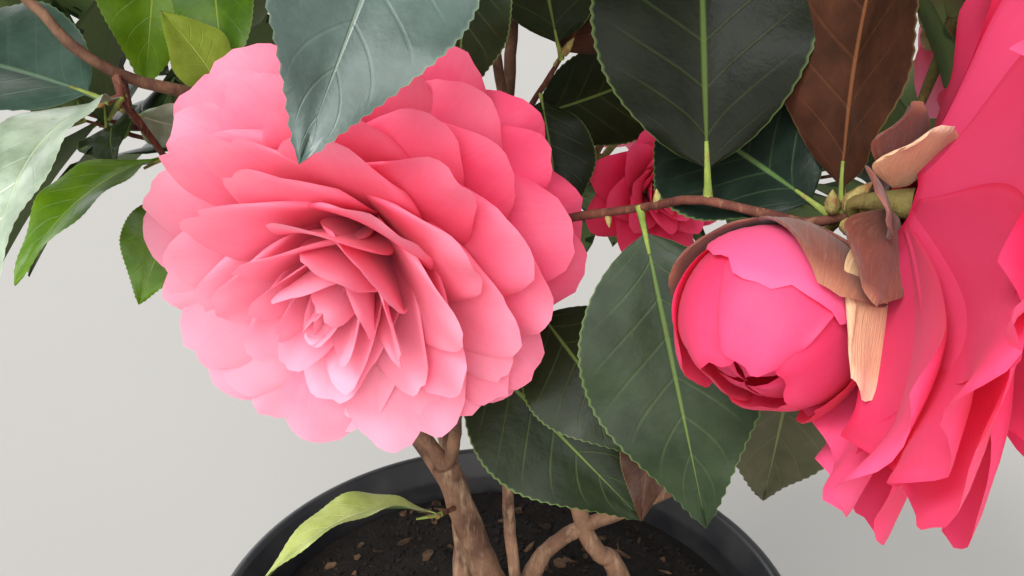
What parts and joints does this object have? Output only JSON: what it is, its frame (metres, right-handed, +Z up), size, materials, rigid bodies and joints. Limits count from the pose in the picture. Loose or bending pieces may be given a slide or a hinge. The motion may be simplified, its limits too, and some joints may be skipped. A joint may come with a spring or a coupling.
{
  "type": "potted flowering camellia shrub",
  "caption": "Many-stemmed evergreen flowering shrub with double pink blooms and glossy leaves, in a round black plastic nursery pot filled with compost.",
  "frame": {"origin": "centre of the pot's flat underside", "axes": "+Z up along the pot's axis; -Y is the side seen in the picture, with the large pale bloom; +X is to its right"},
  "size_m": [0.48, 0.4227, 0.669],
  "materials": {
    "pot": "satin",
    "soil": "matte",
    "bark": "matte",
    "leaf": "satin",
    "bloom_pale": "matte",
    "bloom_deep": "matte"
  },
  "bodies": {
    "root": {"pot": "pot", "soil": "soil", "stem_main": "bark", "stem_front": "bark", "stem_right": "bark", "stem_centre": "bark", "stem_back": "bark", "bough_left": "bark", "bough_bloom": "bark", "bough_left_low": "bark", "bough_front": "bark", "bough_right": "bark", "bough_right_back": "bark", "bough_right_front": "bark", "bough_top": "bark", "bough_top_front": "bark", "bough_top_right": "bark", "bough_back_right": "bark", "bough_back_top": "bark", "bough_back": "bark", "bough_back_left": "bark", "bough_top_left": "bark", "bough_back_low": "bark", "spray_front_right": "leaf", "spray_lower": "leaf", "spray_upper": "leaf", "spray_left": "leaf", "spray_left_back": "leaf", "spray_behind": "leaf", "spray_foot": "leaf", "bloom_front": "bloom_pale", "bud_right": "bloom_deep", "bloom_right": "bloom_deep", "bloom_behind": "bloom_deep", "bloom_top": "bloom_pale", "bloom_top_left": "bloom_pale", "bloom_top_right": "bloom_deep", "bloom_right_side": "bloom_pale", "bloom_back_right": "bloom_deep", "bloom_back": "bloom_pale", "bloom_back_left": "bloom_deep", "bloom_back_low": "bloom_pale", "leaves_top_1": "leaf", "leaves_top_2": "leaf", "leaves_top_right_1": "leaf", "leaves_top_right_2": "leaf", "leaves_top_front_1": "leaf", "leaves_top_left_1": "leaf", "leaves_back_top_1": "leaf", "leaves_back_right_1": "leaf", "leaves_back_right_2": "leaf", "leaves_back_1": "leaf", "leaves_back_left_1": "leaf", "leaves_back_low_1": "leaf", "leaves_left_1": "leaf", "leaves_left_low_1": "leaf", "leaves_right_1": "leaf", "leaves_right_back_1": "leaf", "leaves_right_front_1": "leaf"}
  },
  "joints": []
}
